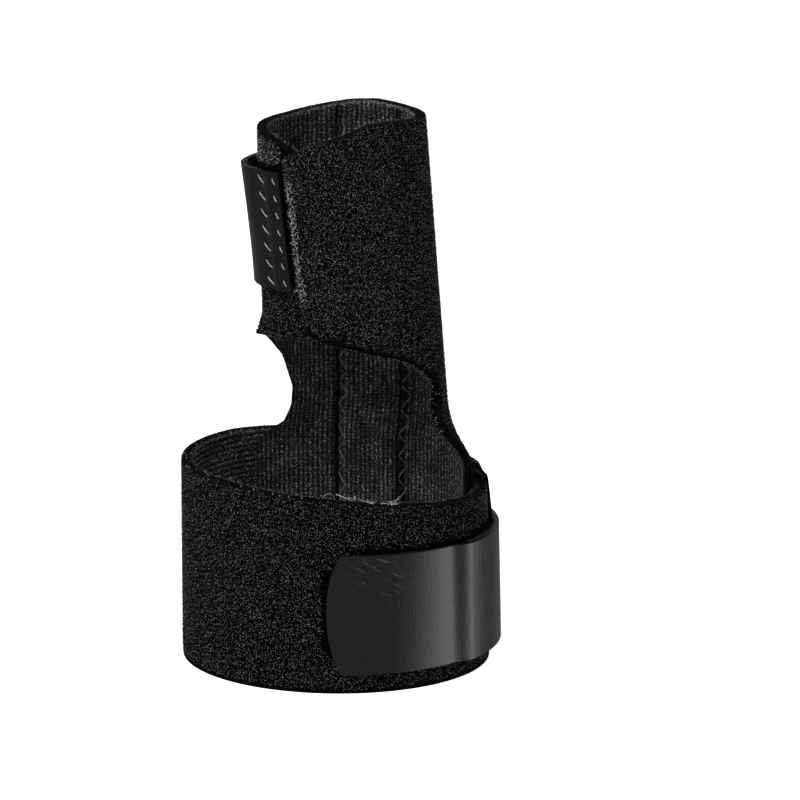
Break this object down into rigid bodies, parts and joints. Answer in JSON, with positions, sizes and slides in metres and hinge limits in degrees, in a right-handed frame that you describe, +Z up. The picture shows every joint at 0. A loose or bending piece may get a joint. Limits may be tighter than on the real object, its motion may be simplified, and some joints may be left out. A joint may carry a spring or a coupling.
{
  "type": "finger splint",
  "caption": "Black padded fabric splint: a tall panel wraps the finger and stands in a strap that loops round the hand, both closed by hook tabs.",
  "frame": {"origin": "on the surface it stands on, under the middle of its bounding box", "axes": "+Z up the finger, +X to the right as seen from the front where the large tab lies, +Y to the back"},
  "size_m": [0.0656, 0.049, 0.1119],
  "materials": {
    "padded_fabric": "brushed pile outside, ribbed knit inside",
    "hook_tape": "smooth satin"
  },
  "bodies": {
    "root": {"finger_panel": "padded_fabric", "hand_strap": "padded_fabric", "hand_tab": "hook_tape", "finger_tab": "hook_tape"}
  },
  "joints": []
}
